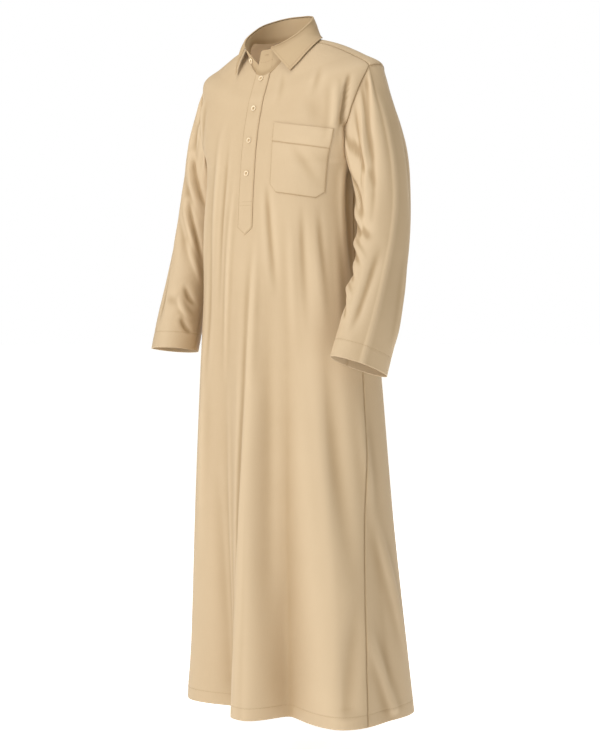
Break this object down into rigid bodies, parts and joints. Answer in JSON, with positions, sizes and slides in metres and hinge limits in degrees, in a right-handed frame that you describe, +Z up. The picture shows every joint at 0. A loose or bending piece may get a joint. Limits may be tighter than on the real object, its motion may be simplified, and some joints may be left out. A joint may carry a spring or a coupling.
{
  "type": "collared robe (thobe or jubba): a closed, ankle-length pullover robe with long sleeves, filled out with no wearer",
  "caption": "Sand coloured long-sleeved ankle-length robe with a shirt collar, buttoned half placket and chest pocket, filled out as if worn.",
  "frame": {"origin": "the middle of the shoulders, between the two points where the neck seam crosses them, where the wearer's shoulders hold the robe up", "axes": "+Z up along the robe's length, +X towards the wearer's left, the front faces -Y"},
  "size_m": [0.6217, 0.4274, 1.4745],
  "materials": {
    "cloth": "fine pressed cotton and polyester twill with a very soft sheen",
    "collar_cloth": "the same cloth, fused and pressed, with an edge stitch",
    "button": "polished ivory resin with a sunken middle"
  },
  "bodies": {
    "root": {"front": "cloth", "back": "cloth", "yoke": "cloth", "sleeve_left": "cloth", "sleeve_right": "cloth", "collar_stand": "collar_cloth", "collar_leaf": "collar_cloth", "placket_under": "cloth", "placket_upper": "cloth", "pocket": "cloth", "pocket_band": "cloth", "button_1": "button", "button_2": "button", "button_3": "button", "button_4": "button", "button_collar": "button"}
  },
  "joints": []
}
